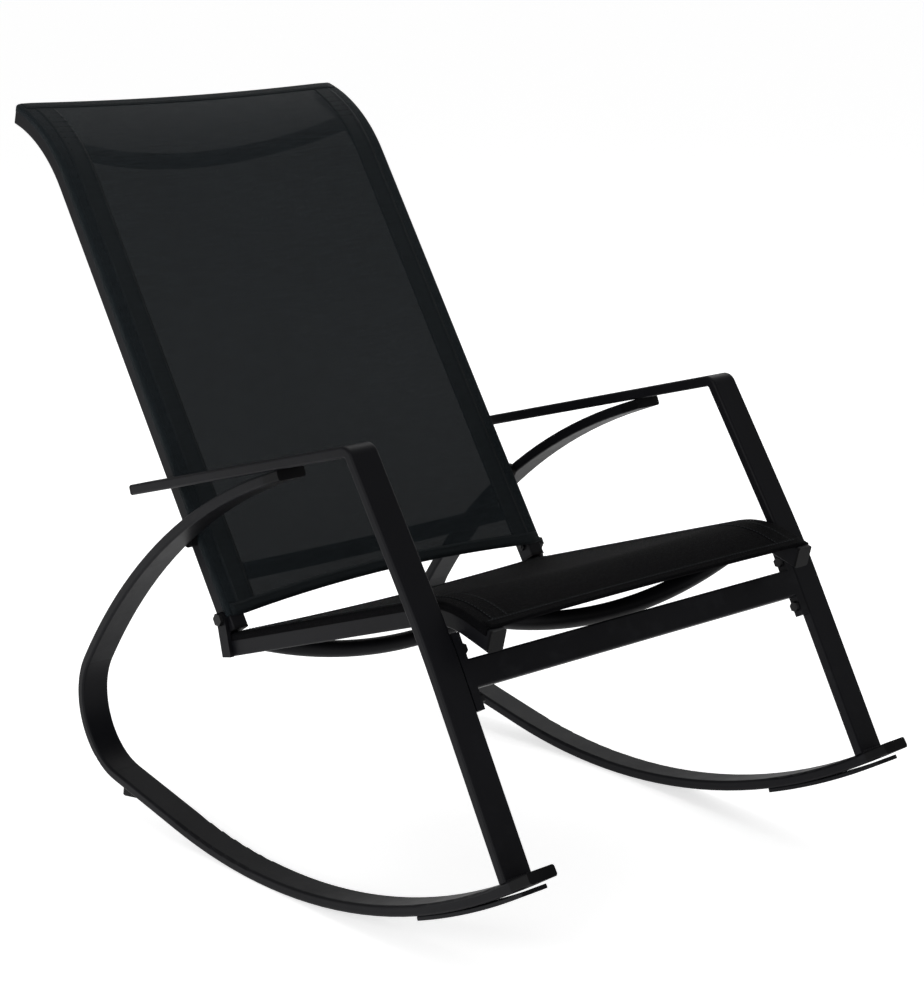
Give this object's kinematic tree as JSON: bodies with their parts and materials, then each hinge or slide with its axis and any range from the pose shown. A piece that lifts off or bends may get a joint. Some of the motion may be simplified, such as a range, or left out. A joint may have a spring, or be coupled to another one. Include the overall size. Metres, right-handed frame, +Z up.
{
  "type": "camp rocking chair",
  "caption": "Rocking chair with flat-tube steel side frames, arm and front leg in one bent tube, C-shaped rockers, and a fabric sling back with a rolled top and a fabric sling seat",
  "frame": {"origin": "Centre of the chair's footprint box on the floor it stands on", "axes": "+Z up; the chair faces -Y; +X is the sitter's left; the plane X = 0 is the plane of symmetry"},
  "size_m": [0.56, 0.9473, 0.8145],
  "materials": {
    "powder_coat": "near-black fine-textured powder coat, satin",
    "black_plastic": "moulded black plastic, matt",
    "black_zinc": "black plated steel fasteners, satin",
    "sling_fabric": "dark grey woven coated-yarn mesh, matt, slightly see-through"
  },
  "bodies": {
    "root": {"left_arm_leg_tube": "powder_coat", "right_arm_leg_tube": "powder_coat", "left_rocker_tube": "powder_coat", "right_rocker_tube": "powder_coat", "left_arm_end_cap": "black_plastic", "right_arm_end_cap": "black_plastic", "left_rocker_upper_cap": "black_plastic", "right_rocker_upper_cap": "black_plastic", "left_rocker_front_cap": "black_plastic", "right_rocker_front_cap": "black_plastic", "left_front_stop_strip": "powder_coat", "right_front_stop_strip": "powder_coat", "left_rear_stop": "black_plastic", "right_rear_stop": "black_plastic", "left_back_tube": "powder_coat", "right_back_tube": "powder_coat", "left_back_top_cap": "black_plastic", "right_back_top_cap": "black_plastic", "left_back_bottom_cap": "black_plastic", "right_back_bottom_cap": "black_plastic", "back_top_crossbar": "powder_coat", "back_lower_crossbar": "powder_coat", "back_sling": "sling_fabric", "left_seat_rail": "powder_coat", "right_seat_rail": "powder_coat", "left_seat_front_cap": "black_plastic", "right_seat_front_cap": "black_plastic", "left_seat_rear_cap": "black_plastic", "right_seat_rear_cap": "black_plastic", "seat_rear_bow": "powder_coat", "seat_front_bow": "powder_coat", "seat_sling": "sling_fabric", "left_seat_bracket": "powder_coat", "right_seat_bracket": "powder_coat", "front_crossbar": "powder_coat", "left_end_plate": "powder_coat", "right_end_plate": "powder_coat", "left_plate_bolt_upper": "black_zinc", "left_plate_bolt_lower": "black_zinc", "right_plate_bolt_upper": "black_zinc", "right_plate_bolt_lower": "black_zinc", "left_leg_insert_upper": "black_zinc", "left_leg_insert_lower": "black_zinc", "right_leg_insert_upper": "black_zinc", "right_leg_insert_lower": "black_zinc", "left_back_bolt": "black_zinc", "right_back_bolt": "black_zinc", "left_back_nut": "black_zinc", "right_back_nut": "black_zinc", "left_back_spacer": "black_plastic", "right_back_spacer": "black_plastic", "left_back_stud": "black_zinc", "right_back_stud": "black_zinc"}
  },
  "joints": []
}
